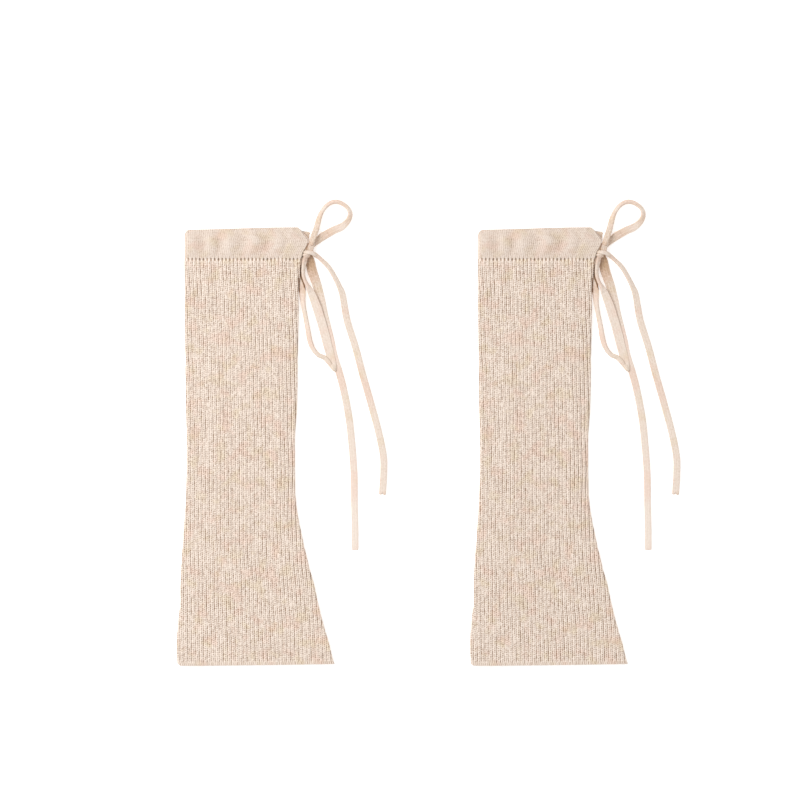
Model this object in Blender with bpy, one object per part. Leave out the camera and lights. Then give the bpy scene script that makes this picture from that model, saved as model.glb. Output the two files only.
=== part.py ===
# Pair of knitted boot warmers, laid flat side by side: flared ribbed legs, a smooth casing along each
# top, and a flat drawstring tied in a bow with two free tails. Metres, +Z up, the cloth's underside at 0.

import math
from collections import namedtuple

import bmesh
import bpy
from mathutils import Vector

MM = 0.001

# Driving sizes, in millimetres
PAIR_PITCH = 281.3
HEM_WIDTH = 150.0
CASING_FOOT = 389.8
SEAM_GAP = 0.3
TOTAL_HEIGHT = 420.0

# Ribbed cloth
RIB_PITCH = 3.6
RIB_COUNT = 40
RIB_RISE = 0.75
RIB_FADE = 0.7
FIRST_RIB_AT = -1.4
CLOTH_WALL = 1.7
EDGE_INSET = 0.4
POINTS_PER_RIB = 3
UNDERSIDE_POINTS = 16
INSIDE_POINTS = 20
FLARE_TOP = 157.0
FLARE_SECTIONS = 11
SHIN_SECTIONS = 5
HEM_LIFT = 1.9
HEM_LIFT_FROM = 108.0

# Casing
FOLD_RADIUS = 4.0
LAYER_GAP = 0.3
CASING_WALL = 0.95
CHANNEL_MARGIN = 2.2
CHANNEL_STEPS = 6
CASING_LEFT = 7.0
FRONT_STATIONS = 16
BACK_STATIONS = 4
FOLD_STEPS = 5
TOP_SLOPE = 2.2
TOP_SLOPE_RUN = 100.0
GATHER_LENGTH = 117.0
GATHER_FADE = 0.08
RIM_CORNER = 0.02

# Drawstring: a flat knitted cord
CORD_WIDTH = 6.2
CORD_THICK = 2.5
TAPE_THICK = 1.3
CORD_SPACING = 16.0
LOOP_SPACING = 9.0

# How the leg lies: heights above the hem, its two edges, its thickness over both layers, how far the
# ribs have drifted to the left, and how much their pitch has spread
LegRow = namedtuple("LegRow", "height left right thick drift spread")
LEG_ROWS = (
    LegRow(0.0, 0.6, HEM_WIDTH, 4.2, 0.0, 1.060),
    LegRow(22.0, 0.25, 145.4, 4.0, 0.0, 1.057),
    LegRow(49.0, 2.2, 137.8, 4.0, 0.0, 1.047),
    LegRow(76.0, 2.8, 131.8, 4.0, 0.0, 1.033),
    LegRow(103.0, 4.3, 124.3, 4.0, 0.0, 1.012),
    LegRow(130.0, 6.2, 118.5, 4.0, 0.0, 1.0),
    LegRow(157.0, 8.2, 113.9, 4.0, 0.0, 1.0),
    LegRow(210.0, 9.2, 112.7, 4.0, 0.0, 1.0),
    LegRow(251.0, 8.3, 114.7, 4.0, 0.8, 1.0),
    LegRow(304.0, 7.5, 115.7, 4.1, 2.1, 1.0),
    LegRow(345.0, 7.2, 116.6, 4.7, 3.8, 1.0),
    LegRow(CASING_FOOT - SEAM_GAP, 6.8, 118.6, 6.3, 7.2, 1.0),
)

# The casing across its height: how far the front's surface stands over the plane between the two
# layers, how far the back's reaches under it, and where the open ends of the front and back lie
CasingRow = namedtuple("CasingRow", "across front back front_end back_end")
CASING_ROWS = (
    CasingRow(0.0, 2.9, 3.4, 118.6, 118.6),
    CasingRow(1.5, 3.4, 4.0, 119.0, 119.5),
    CasingRow(6.0, 4.0, 4.0, 120.2, 121.8),
    CasingRow(11.0, 4.3, 4.0, 122.6, 123.8),
    CasingRow(15.5, 4.3, 4.0, 124.6, 124.6),
    CasingRow(19.5, 4.1, 4.0, 124.3, 125.4),
    CasingRow(24.0, 3.6, 4.0, 120.8, 125.9),
    CasingRow(28.0, 2.7, 4.0, 117.8, 125.0),
    CasingRow(30.2, 1.7, 3.0, 115.8, 118.6),
)

# Soft gathers in the casing's front, drawn up by the string: where each lies at the casing's foot,
# how far it leans towards the top, how much it rises and how wide it is
Gather = namedtuple("Gather", "at lean rise width")
GATHERS = (
    Gather(11.0, 0.5, 0.35, 4.0),
    Gather(20.0, 1.5, -0.30, 4.5),
    Gather(29.5, 1.0, 0.45, 4.0),
    Gather(38.5, -1.0, -0.45, 3.5),
    Gather(48.5, -1.5, 0.45, 5.0),
    Gather(58.0, 1.0, -0.30, 4.5),
    Gather(70.5, 2.0, 0.55, 5.0),
    Gather(83.5, 1.5, -0.40, 5.5),
    Gather(96.0, -1.0, 0.40, 7.0),
)

# The knot: its middle, its half sizes and the waist between its two turns
KNOT_CENTRE = (127.7, 398.6, 4.3)
KNOT_HALF = (4.0, 7.0, 4.0)
KNOT_WAIST_AT = 1.4
KNOT_WAIST_DEPTH = 0.16
KNOT_WAIST_WIDTH = 1.6

# The drawstring's routes, by hand: where the cord's middle lies and its width
CordRow = namedtuple("CordRow", "x y z width")
UPPER_LOOP = (
    CordRow(128.4, 405.7, 5.4, 3.8),
    CordRow(130.1, 410.4, 5.6, 4.4),
    CordRow(133.2, 420.0, 2.6, 4.8),
    CordRow(134.9, 427.7, 1.6, 4.8),
    CordRow(138.2, 435.4, 1.6, 4.4),
    CordRow(145.9, 443.0, 1.6, 4.0),
    CordRow(153.1, 445.2, 1.6, 4.0),
    CordRow(159.6, 442.6, 1.6, 4.6),
    CordRow(164.3, 437.0, 1.6, 5.4),
    CordRow(164.6, 431.5, 1.6, 6.0),
    CordRow(157.8, 424.2, 1.6, 6.2),
    CordRow(151.2, 420.0, 1.6, 6.2),
    CordRow(143.0, 413.6, 1.6, 6.0),
    CordRow(136.6, 408.0, 1.6, 4.6),
    CordRow(131.9, 403.6, 2.0, 3.6),
)
LOWER_LOOP = (
    CordRow(124.7, 392.1, 6.0, 4.2),
    CordRow(122.4, 383.8, 6.4, 4.4),
    CordRow(121.6, 376.0, 6.2, 4.6),
    CordRow(122.8, 367.4, 5.6, 5.6),
    CordRow(126.0, 358.6, 3.6, 6.2),
    CordRow(130.4, 347.5, 1.8, 6.2),
    CordRow(135.6, 334.0, 2.8, 6.2),
    CordRow(140.8, 320.4, 4.6, 6.2),
    CordRow(143.6, 308.6, 4.6, 6.2),
    CordRow(143.3, 299.4, 4.2, 5.4),
    CordRow(139.6, 295.6, 2.6, 4.4),
    CordRow(134.2, 298.8, 1.6, 4.4),
    CordRow(128.6, 309.2, 1.6, 4.4),
    CordRow(125.0, 320.2, 1.6, 4.4),
    CordRow(122.8, 332.6, 1.6, 4.2),
    CordRow(120.6, 345.0, 1.6, 3.4),
    CordRow(119.2, 356.8, 1.6, 3.0),
    CordRow(119.6, 367.4, 1.6, 2.8),
    CordRow(120.8, 377.0, 1.6, 2.8),
    CordRow(122.8, 385.4, 1.8, 2.8),
    CordRow(125.1, 391.6, 2.8, 2.8),
)
LONG_TAIL = (
    CordRow(128.5, 391.1, 3.6, 4.4),
    CordRow(130.6, 383.8, 1.6, 6.0),
    CordRow(132.4, 375.9, 1.6, 6.2),
    CordRow(136.8, 361.2, 1.6, 6.2),
    CordRow(141.3, 345.0, 1.6, 6.2),
    CordRow(144.5, 329.8, 1.6, 6.2),
    CordRow(148.7, 314.0, 1.6, 6.2),
    CordRow(150.8, 298.3, 1.6, 6.2),
    CordRow(153.8, 284.8, 1.6, 6.2),
    CordRow(159.4, 264.5, 1.6, 6.2),
    CordRow(164.6, 237.6, 1.6, 6.2),
    CordRow(167.5, 210.7, 1.6, 6.2),
    CordRow(169.4, 183.8, 1.6, 6.2),
    CordRow(169.8, 157.0, 1.6, 6.2),
    CordRow(170.4, 130.1, 1.6, 6.2),
    CordRow(170.4, 111.4, 1.6, 6.2),
)
SHORT_TAIL = (
    CordRow(132.7, 396.6, 3.2, 3.6),
    CordRow(137.2, 392.2, 1.8, 4.0),
    CordRow(144.5, 384.8, 1.6, 5.4),
    CordRow(151.7, 372.0, 1.6, 6.0),
    CordRow(157.0, 358.6, 1.6, 6.2),
    CordRow(162.7, 331.7, 1.6, 6.2),
    CordRow(170.9, 304.8, 1.6, 6.2),
    CordRow(178.1, 277.9, 1.6, 6.2),
    CordRow(185.8, 251.0, 1.6, 6.2),
    CordRow(193.0, 224.2, 1.6, 6.2),
    CordRow(197.5, 201.6, 1.6, 6.2),
    CordRow(197.9, 184.3, 1.6, 6.2),
    CordRow(196.6, 164.2, 1.6, 6.2),
)

# The stretch inside the casing, one layer's half of it: how far along and how far across it runs
TapeRow = namedtuple("TapeRow", "x across")
TAPE_ROWS = (
    TapeRow(123.4, 11.2),
    TapeRow(116.0, 13.2),
    TapeRow(104.0, 14.6),
    TapeRow(60.0, 15.1),
    TapeRow(11.0, 15.1),
)
TAPE_OFFSET = 2.05
TAPE_SECTION = ((-1, -0.4), (-0.9, -1), (0.9, -1), (1, -0.4), (1, 0.4), (0.9, 1), (-0.9, 1), (-1, 0.4))

KNIT_COLOUR = (0.81, 0.66, 0.55, 1.0)
CASING_COLOUR = (0.83, 0.69, 0.58, 1.0)
CORD_COLOUR = (0.88, 0.74, 0.63, 1.0)
KNIT_ROUGHNESS = 0.95


def clear_scene():
    for item in list(bpy.data.objects):
        bpy.data.objects.remove(item, do_unlink=True)


def fabric_material(name, colour):
    material = bpy.data.materials.new(name)
    material.use_nodes = True
    shader = material.node_tree.nodes["Principled BSDF"]
    shader.inputs["Base Color"].default_value = colour
    shader.inputs["Roughness"].default_value = KNIT_ROUGHNESS
    shader.inputs["Metallic"].default_value = 0.0
    return material


# Reads one column of a table at any value of its first column, along a smooth curve through its rows
def read_table(rows, column, at):
    keys = [row[0] for row in rows]
    values = [getattr(row, column) for row in rows]
    at = min(max(at, keys[0]), keys[-1])
    index = 0
    while index < len(keys) - 2 and at > keys[index + 1]:
        index += 1

    def slope(i):
        low, high = max(i - 1, 0), min(i + 1, len(keys) - 1)
        return (values[high] - values[low]) / (keys[high] - keys[low])

    span = keys[index + 1] - keys[index]
    t = (at - keys[index]) / span
    start = (1 + 2 * t) * (1 - t) ** 2 * values[index]
    end = t * t * (3 - 2 * t) * values[index + 1]
    leaving = t * (1 - t) ** 2 * span * slope(index)
    arriving = t * t * (t - 1) * span * slope(index + 1)
    return start + end + leaving + arriving


def ease(t):
    t = min(max(t, 0.0), 1.0)
    return t * t * (3 - 2 * t)


# A point on a flat tube's outline and the way it faces, at a distance along it from the middle of the
# left fold, first over the top
def outline_point(left, right, low, high, travel):
    radius = (high - low) / 2
    flat = right - left - 2 * radius
    quarter = math.pi * radius / 2
    travel = travel % (2 * flat + 4 * quarter)
    middle = low + radius
    if travel < quarter:
        angle = travel / radius
        facing = (-math.cos(angle), math.sin(angle))
        return left + radius + radius * facing[0], middle + radius * facing[1], facing
    travel -= quarter
    if travel < flat:
        return left + radius + travel, high, (0.0, 1.0)
    travel -= flat
    if travel < 2 * quarter:
        angle = travel / radius
        facing = (math.sin(angle), math.cos(angle))
        return right - radius + radius * facing[0], middle + radius * facing[1], facing
    travel -= 2 * quarter
    if travel < flat:
        return right - radius - travel, low, (0.0, -1.0)
    angle = (travel - flat) / radius
    facing = (-math.sin(angle), -math.cos(angle))
    return left + radius + radius * facing[0], middle + radius * facing[1], facing


def outline_length(left, right, low, high):
    radius = (high - low) / 2
    return 2 * (right - left - 2 * radius) + 2 * math.pi * radius


# The hem rises a little at its right end
def hem_height(x):
    return HEM_LIFT * ease((x - HEM_LIFT_FROM) / (HEM_WIDTH - HEM_LIFT_FROM))


# One closed ring of the leg's outside: three points for each rib, then plain points along the underside.
# A rim's ring has the same points with no ribs, a little further in.
def leg_ring(row, at_rim=False):
    radius = row.thick / 2
    quarter = math.pi * radius / 2
    girth = outline_length(row.left, row.right, 0.0, row.thick)
    travels = []
    for step in range(RIB_COUNT * POINTS_PER_RIB + 1):
        line = FIRST_RIB_AT + RIB_PITCH * step / POINTS_PER_RIB - row.drift
        line = (line - row.left) * row.spread + row.left
        travels.append(line - row.left - radius + quarter)
    room = travels[0] + girth - travels[-1]
    for step in range(1, UNDERSIDE_POINTS):
        travels.append(travels[RIB_COUNT * POINTS_PER_RIB] + room * step / UNDERSIDE_POINTS)
    ring = []
    for step, travel in enumerate(travels):
        x, z, facing = outline_point(row.left, row.right, 0.0, row.thick, travel)
        raised = step <= RIB_COUNT * POINTS_PER_RIB and step % POINTS_PER_RIB > 0
        rise = RIB_RISE * ease(facing[1] / RIB_FADE) if raised else 0.0
        if at_rim:
            rise = -EDGE_INSET
        y = hem_height(x) if row.height == 0 else row.height
        ring.append((travel / girth, Vector((x + rise * facing[0], y, z + rise * facing[1]))))
    return ring


def leg_inside_ring(row):
    left, right = row.left + CLOTH_WALL, row.right - CLOTH_WALL
    low, high = CLOTH_WALL, row.thick - CLOTH_WALL
    girth = outline_length(left, right, low, high)
    ring = []
    for step in range(INSIDE_POINTS):
        part = step / INSIDE_POINTS
        x, z, _ = outline_point(left, right, low, high, part * girth)
        y = hem_height(x) if row.height == 0 else row.height
        ring.append((part, Vector((x, y, z))))
    return ring


# Faces between two rings with the same number of points
def skin(body, first, second):
    count = len(first)
    for i in range(count):
        j = (i + 1) % count
        body.faces.new((first[i], first[j], second[j], second[i]))


# Faces between two rings of different counts that lie one inside the other, matched by how far round
# each point lies
def skin_rim(body, outer, outer_parts, inner, inner_parts):
    i = j = 0
    while i < len(outer) or j < len(inner):
        next_outer = outer_parts[i + 1] if i + 1 < len(outer) else outer_parts[0] + 1
        next_inner = inner_parts[j + 1] if j + 1 < len(inner) else inner_parts[0] + 1
        a, b = outer[i % len(outer)], inner[j % len(inner)]
        if j >= len(inner) or (i < len(outer) and next_outer <= next_inner):
            body.faces.new((a, outer[(i + 1) % len(outer)], b))
            i += 1
        else:
            body.faces.new((a, inner[(j + 1) % len(inner)], b))
            j += 1


def finish(body, name, material, origin):
    bmesh.ops.recalc_face_normals(body, faces=body.faces)
    bmesh.ops.scale(body, vec=(MM, MM, MM), verts=body.verts)
    mesh = bpy.data.meshes.new(name)
    body.to_mesh(mesh)
    body.free()
    mesh.materials.append(material)
    piece = bpy.data.objects.new(name, mesh)
    piece.location = Vector(origin) * MM
    bpy.context.collection.objects.link(piece)
    return piece


# The leg at any height, read from its table
def leg_section(height):
    return LegRow(height, *(read_table(LEG_ROWS, column, height) for column in LegRow._fields[1:]))


# Sections lie closer together down the flare, where the ribs run off the right edge
def make_leg(name, material, origin):
    top = LEG_ROWS[-1].height
    heights = [FLARE_TOP * step / FLARE_SECTIONS for step in range(FLARE_SECTIONS)]
    heights += [FLARE_TOP + (top - FLARE_TOP) * step / SHIN_SECTIONS for step in range(SHIN_SECTIONS + 1)]
    body = bmesh.new()
    outside, inside = [], []
    for height in heights:
        row = leg_section(height)
        outer, inner = leg_ring(row), leg_inside_ring(row)
        outside.append([body.verts.new(point) for _, point in outer])
        inside.append([body.verts.new(point) for _, point in inner])
        if height in (heights[0], heights[-1]):
            rim = leg_ring(row, at_rim=True)
            rim_ring = [body.verts.new(point) for _, point in rim]
            skin(body, outside[-1], rim_ring)
            skin_rim(body, rim_ring, [part for part, _ in rim], inside[-1], [part for part, _ in inner])
    for rings in (outside, inside):
        for first, second in zip(rings, rings[1:]):
            skin(body, first, second)
    return finish(body, name, material, origin)


def gather_rise(x, across):
    up = across / CASING_ROWS[-1].across
    total = 0.0
    for gather in GATHERS:
        middle = gather.at + gather.lean * up
        total += gather.rise * math.exp(-(((x - middle) / gather.width) ** 2))
    return total * math.sin(math.pi * min(max(up, GATHER_FADE), 1 - GATHER_FADE))


# Places a point of the casing's section at one station of its run: along the front, round the left
# fold and back along the underside
def casing_place(station, across, reach):
    hinge = CASING_LEFT + FOLD_RADIUS
    if station < 0 or station > 1:
        column = "front_end" if station < 0 else "back_end"
        side = 1.0 if station < 0 else -1.0
        along = -station if station < 0 else station - 1
        x = hinge + along * (read_table(CASING_ROWS, column, across) - hinge)
        z = FOLD_RADIUS + side * reach
    else:
        angle = math.pi * (0.5 + station)
        x = hinge + math.cos(angle) * reach
        z = FOLD_RADIUS + math.sin(angle) * reach
    right_part = ease((x - CASING_LEFT) / TOP_SLOPE_RUN)
    y = CASING_FOOT + across * (1 - TOP_SLOPE * (1 - right_part) / CASING_ROWS[-1].across)
    return Vector((x, y, z))


def casing_reach(station, across):
    front = read_table(CASING_ROWS, "front", across)
    back = read_table(CASING_ROWS, "back", across)
    if station >= 1:
        return back
    x = CASING_LEFT + FOLD_RADIUS - min(station, 0.0) * GATHER_LENGTH
    turned = ease(station)
    return (front + gather_rise(x, across)) * (1 - turned) + back * turned


# How far round a section a point lies: its outer side runs up, and its inner side runs down again. A
# section with two points at each edge keeps them a corner apart.
def casing_part(up, outer_side, corner):
    part = corner + (0.5 - 2 * corner) * up
    return part if outer_side else 1 - part


# Both rings of the casing's section at one station: its outside, and the channel that holds the string
def casing_rings(station):
    top = CASING_ROWS[-1].across
    inner_side = LAYER_GAP / 2
    outer = []
    for row in CASING_ROWS:
        point = casing_place(station, row.across, casing_reach(station, row.across))
        outer.append((casing_part(row.across / top, True, RIM_CORNER), point))
    for row in reversed(CASING_ROWS):
        part = casing_part(row.across / top, False, RIM_CORNER)
        outer.append((part, casing_place(station, row.across, inner_side)))
    channel = []
    channel_floor = inner_side + CASING_WALL
    for step in range(CHANNEL_STEPS + 1):
        up = step / CHANNEL_STEPS
        across = CHANNEL_MARGIN + (top - 2 * CHANNEL_MARGIN) * up
        room = casing_reach(station, across) - CASING_WALL - channel_floor
        reach = channel_floor + room * math.sqrt(1 - (2 * up - 1) ** 4)
        channel.append((casing_part(up, True, 0.0), casing_place(station, across, reach)))
    for step in range(CHANNEL_STEPS - 1, 0, -1):
        up = step / CHANNEL_STEPS
        across = CHANNEL_MARGIN + (top - 2 * CHANNEL_MARGIN) * up
        channel.append((casing_part(up, False, 0.0), casing_place(station, across, channel_floor)))
    return outer, channel


def make_casing(name, material, origin):
    stations = [-1 + i / FRONT_STATIONS for i in range(FRONT_STATIONS)]
    stations += [i / FOLD_STEPS for i in range(FOLD_STEPS + 1)]
    stations += [1 + (i + 1) / BACK_STATIONS for i in range(BACK_STATIONS)]
    body = bmesh.new()
    outside, channel = [], []
    for station in stations:
        outer, inner = casing_rings(station)
        outside.append([body.verts.new(point) for _, point in outer])
        channel.append([body.verts.new(point) for _, point in inner])
        if station in (stations[0], stations[-1]):
            skin_rim(body, outside[-1], [part for part, _ in outer], channel[-1], [part for part, _ in inner])
    for rings in (outside, channel):
        for first, second in zip(rings, rings[1:]):
            skin(body, first, second)
    return finish(body, name, material, origin)


# The cord's flat round-cornered section, which its curves are bevelled with
def cord_profile(name, width, thick):
    curve = bpy.data.curves.new(name, "CURVE")
    curve.dimensions = "2D"
    curve.resolution_u = 1
    curve.render_resolution_u = 0
    half_flat = (width - thick) / 2
    turns = [math.radians(-22.5 - 45 * step) for step in range(8)]
    spline = curve.splines.new("POLY")
    spline.points.add(len(turns) - 1)
    for point, turn in zip(spline.points, turns):
        side = half_flat if math.cos(turn) > 0 else -half_flat
        x = side + thick / 2 * math.cos(turn)
        y = thick / 2 * math.sin(turn)
        point.co = (x * MM, y * MM, 0.0, 1.0)
    spline.use_cyclic_u = True
    profile = bpy.data.objects.new(name, curve)
    profile.hide_render = True
    profile.display_type = "WIRE"
    bpy.context.collection.objects.link(profile)
    return profile


# Points along a smooth curve through a route's rows, evenly spaced
def smooth_route(rows, spacing):
    def curve_value(index, t, column):
        values = [getattr(row, column) for row in rows]
        before = values[max(index - 1, 0)]
        start, end = values[index], values[index + 1]
        after = values[min(index + 2, len(values) - 1)]
        leaving, arriving = (end - before) / 2, (after - start) / 2
        value = (1 + 2 * t) * (1 - t) ** 2 * start + t * t * (3 - 2 * t) * end
        return value + t * (1 - t) ** 2 * leaving + t * t * (t - 1) * arriving

    fine = []
    for index in range(len(rows) - 1):
        for step in range(12):
            fine.append([curve_value(index, step / 12, column) for column in rows[0]._fields])
    fine.append(list(rows[-1]))
    lengths = [0.0]
    for first, second in zip(fine, fine[1:]):
        lengths.append(lengths[-1] + math.dist(first[:3], second[:3]))
    count = max(round(lengths[-1] / spacing), 2)
    points, index = [], 0
    for step in range(count + 1):
        target = lengths[-1] * step / count
        while index < len(lengths) - 2 and lengths[index + 1] < target:
            index += 1
        part = (target - lengths[index]) / (lengths[index + 1] - lengths[index])
        points.append([a + (b - a) * part for a, b in zip(fine[index], fine[index + 1])])
    return points


def make_cord(name, material, origin, points, profile):
    curve = bpy.data.curves.new(name, "CURVE")
    curve.dimensions = "3D"
    curve.twist_mode = "Z_UP"
    curve.resolution_u = 1
    curve.render_resolution_u = 0
    curve.bevel_mode = "OBJECT"
    curve.bevel_object = profile
    curve.use_fill_caps = True
    spline = curve.splines.new("POLY")
    spline.points.add(len(points) - 1)
    for point, (x, y, z, width) in zip(spline.points, points):
        point.co = (x * MM, y * MM, z * MM, 1.0)
        point.radius = width / CORD_WIDTH
    curve.materials.append(material)
    cord = bpy.data.objects.new(name, curve)
    cord.location = Vector(origin) * MM
    bpy.context.collection.objects.link(cord)
    return cord


# The stretch of cord inside the casing, pressed flat: in along the front, round the fold, out at the back
def make_casing_cord(name, material, origin):
    centre = []
    for row in TAPE_ROWS:
        centre.append((row.x, row.across, math.pi / 2))
    for step in range(1, FOLD_STEPS):
        centre.append((TAPE_ROWS[-1].x, TAPE_ROWS[-1].across, math.pi * (0.5 + step / FOLD_STEPS)))
    for row in reversed(TAPE_ROWS):
        centre.append((row.x, row.across, math.pi * 1.5))
    body = bmesh.new()
    rings = []
    for x, across, angle in centre:
        ring = []
        for wide, level in TAPE_SECTION:
            reach = TAPE_OFFSET + level * TAPE_THICK / 2
            turned = math.cos(angle) * reach
            y = CASING_FOOT + across + wide * CORD_WIDTH / 2
            ring.append(body.verts.new((x + turned, y, FOLD_RADIUS + math.sin(angle) * reach)))
        rings.append(ring)
    for first, second in zip(rings, rings[1:]):
        skin(body, first, second)
    body.faces.new(rings[0])
    body.faces.new(rings[-1])
    return finish(body, name, material, origin)


# A rounded lump with a waist between its two turns
def make_knot(name, material, origin):
    body = bmesh.new()
    bmesh.ops.create_uvsphere(body, u_segments=14, v_segments=9, radius=1.0)
    for vertex in body.verts:
        x, y, z = vertex.co
        waist = math.exp(-(((y * KNOT_HALF[1] + KNOT_WAIST_AT) / KNOT_WAIST_WIDTH) ** 2))
        slim = 1 - KNOT_WAIST_DEPTH * waist
        vertex.co = (
            KNOT_CENTRE[0] + x * KNOT_HALF[0] * slim,
            KNOT_CENTRE[1] + y * KNOT_HALF[1],
            KNOT_CENTRE[2] + z * KNOT_HALF[2] * slim,
        )
    return finish(body, name, material, origin)


def make_warmer(side, origin, materials, profile):
    make_leg(side + "_leg", materials["knit"], origin)
    make_casing(side + "_casing", materials["casing"], origin)
    make_casing_cord(side + "_drawstring", materials["cord"], origin)
    make_knot(side + "_knot", materials["cord"], origin)
    routes = {
        "_upper_loop": UPPER_LOOP,
        "_lower_loop": LOWER_LOOP,
        "_long_tail": LONG_TAIL,
        "_short_tail": SHORT_TAIL,
    }
    for ending, rows in routes.items():
        spacing = LOOP_SPACING if "loop" in ending else CORD_SPACING
        make_cord(side + ending, materials["cord"], origin, smooth_route(rows, spacing), profile)


def main():
    clear_scene()
    materials = {
        "knit": fabric_material("ribbed_knit", KNIT_COLOUR),
        "casing": fabric_material("smooth_knit", CASING_COLOUR),
        "cord": fabric_material("cord_knit", CORD_COLOUR),
    }
    profile = cord_profile("cord_section", CORD_WIDTH, CORD_THICK)
    left_origin = (-(PAIR_PITCH + HEM_WIDTH) / 2, -TOTAL_HEIGHT / 2, 0.0)
    right_origin = (left_origin[0] + PAIR_PITCH, left_origin[1], 0.0)
    make_warmer("left", left_origin, materials, profile)
    make_warmer("right", right_origin, materials, profile)


main()
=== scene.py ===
# Two ribbed boot warmers laid flat side by side, each with a smooth casing and a flat drawstring tied in
# a bow. Lengths are in millimetres from the left corner of a warmer's hem until a piece is finished.
import math

import bmesh
import bpy
from mathutils import Matrix, Vector, noise


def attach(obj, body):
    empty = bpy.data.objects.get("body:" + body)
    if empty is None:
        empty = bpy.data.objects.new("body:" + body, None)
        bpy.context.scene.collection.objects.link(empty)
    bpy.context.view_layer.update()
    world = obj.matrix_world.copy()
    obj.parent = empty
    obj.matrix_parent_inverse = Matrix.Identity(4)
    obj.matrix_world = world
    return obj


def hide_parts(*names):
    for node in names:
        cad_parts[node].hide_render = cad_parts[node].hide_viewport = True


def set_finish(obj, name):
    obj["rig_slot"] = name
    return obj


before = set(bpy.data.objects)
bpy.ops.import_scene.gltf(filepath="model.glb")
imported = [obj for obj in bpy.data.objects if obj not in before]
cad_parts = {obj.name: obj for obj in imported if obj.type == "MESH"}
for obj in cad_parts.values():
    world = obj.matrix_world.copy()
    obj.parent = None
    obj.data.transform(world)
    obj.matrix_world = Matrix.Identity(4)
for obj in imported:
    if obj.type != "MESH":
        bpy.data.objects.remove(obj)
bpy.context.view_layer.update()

mm = 0.001
warmer = {
    "corner": (-215.65, -210.0, 0.0),   # where the left warmer's hem begins on the table
    "pairPitch": 281.3,                 # from one warmer to the other
    "mergeDistance": 0.003,
    "lowest": 0.02,                     # no stitch lies lower than this
}


def ease(t):
    t = min(max(t, 0.0), 1.0)
    return t * t * (3 - 2 * t)


def mix(a, b, t):
    return a + (b - a) * t


def waver(x, y, z):
    return noise.noise(Vector((x, y, z)))


# an even scatter between -0.5 and 0.5, the same for everything within one unit
def scatter(x, y, z):
    return noise.cell(Vector((math.floor(x + 0.01) + 0.5, math.floor(y) + 0.5, z + 0.5))) / 2


# painted shade in the deep creases where the bow's strands press on the leg's edge and on each other
crease = {
    "shade": 0.8, "halfWidth": 1.0, "softEdge": 0.65,
    "legFrom": 112.0,                     # on the leg they show only to the right of this
    "cordTo": 126.0, "cordUnder": 0.5,    # and on cord to the left of this, where it lies on the table
    "lines": (
        ((119.1, 386.5), (118.5, 384.0), (118.1, 380.0), (118.4, 374.6), (119.5, 370.8), (121.2, 366.2),
         (123.0, 361.6), (124.4, 358.0)),
        ((116.3, 371.0), (116.5, 365.0), (116.9, 358.6)),
    ),
}


# how much painted shade the creases lay on the yarn at one place
def creaseShade(x, y):
    nearest = math.inf
    for line in crease["lines"]:
        for (x1, y1), (x2, y2) in zip(line, line[1:]):
            dx, dy = x2 - x1, y2 - y1
            t = min(max(((x - x1) * dx + (y - y1) * dy) / (dx * dx + dy * dy), 0.0), 1.0)
            nearest = min(nearest, math.hypot(x - x1 - t * dx, y - y1 - t * dy))
    return crease["shade"] * ease((crease["halfWidth"] - nearest) / crease["softEdge"])


# reads a table's other columns at any value of its first, along a smooth curve through its rows
def readTable(rows, at):
    last = len(rows) - 1
    at = min(max(at, rows[0][0]), rows[last][0])
    i = 0
    while i < last - 1 and at > rows[i + 1][0]:
        i += 1
    span = rows[i + 1][0] - rows[i][0]
    t = (at - rows[i][0]) / span
    found = []
    for c in range(1, len(rows[0])):
        slopes = []
        for k in (i, i + 1):
            low, high = rows[max(k - 1, 0)], rows[min(k + 1, last)]
            slopes.append((high[c] - low[c]) / (high[0] - low[0]))
        value = (1 + 2 * t) * (1 - t) ** 2 * rows[i][c] + t * t * (3 - 2 * t) * rows[i + 1][c]
        found.append(value + span * (t * (1 - t) ** 2 * slopes[0] + t * t * (t - 1) * slopes[1]))
    return found


# a point on a flat tube's outline and the way it faces, from the middle of the left fold over the top
def aroundTube(left, right, low, high, travel):
    radius = (high - low) / 2
    flat = right - left - 2 * radius
    quarter = math.pi * radius / 2
    travel = travel % (2 * flat + 4 * quarter)
    middle = low + radius
    if travel < quarter:
        angle = travel / radius
        fx, fz = -math.cos(angle), math.sin(angle)
        return left + radius + radius * fx, middle + radius * fz, fx, fz
    travel -= quarter
    if travel < flat:
        return left + radius + travel, high, 0.0, 1.0
    travel -= flat
    if travel < 2 * quarter:
        angle = travel / radius
        fx, fz = math.sin(angle), math.cos(angle)
        return right - radius + radius * fx, middle + radius * fz, fx, fz
    travel -= 2 * quarter
    if travel < flat:
        return right - radius - travel, low, 0.0, -1.0
    angle = (travel - flat) / radius
    fx, fz = -math.sin(angle), -math.cos(angle)
    return left + radius + radius * fx, middle + radius * fz, fx, fz


# a grid of stitches: place() gives each point's position, its tone (the yarn's own, with painted shade and light in
# it) and where it is on the flat cloth
def knitGrid(bm, columns, rows, place):
    tone = bm.verts.layers.float.get("tone") or bm.verts.layers.float.new("tone")
    cloth = bm.verts.layers.float_vector.get("cloth") or bm.verts.layers.float_vector.new("cloth")
    made = bmesh.ops.create_grid(bm, x_segments=columns, y_segments=rows, size=0.5)
    for point in made["verts"]:
        i = round((point.co.x + 0.5) * columns)
        j = round((point.co.y + 0.5) * rows)
        at, shade, flatPlace = place(i, j)
        point.co = at
        point[tone] = shade
        point[cloth] = flatPlace
    return made["verts"]


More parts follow.
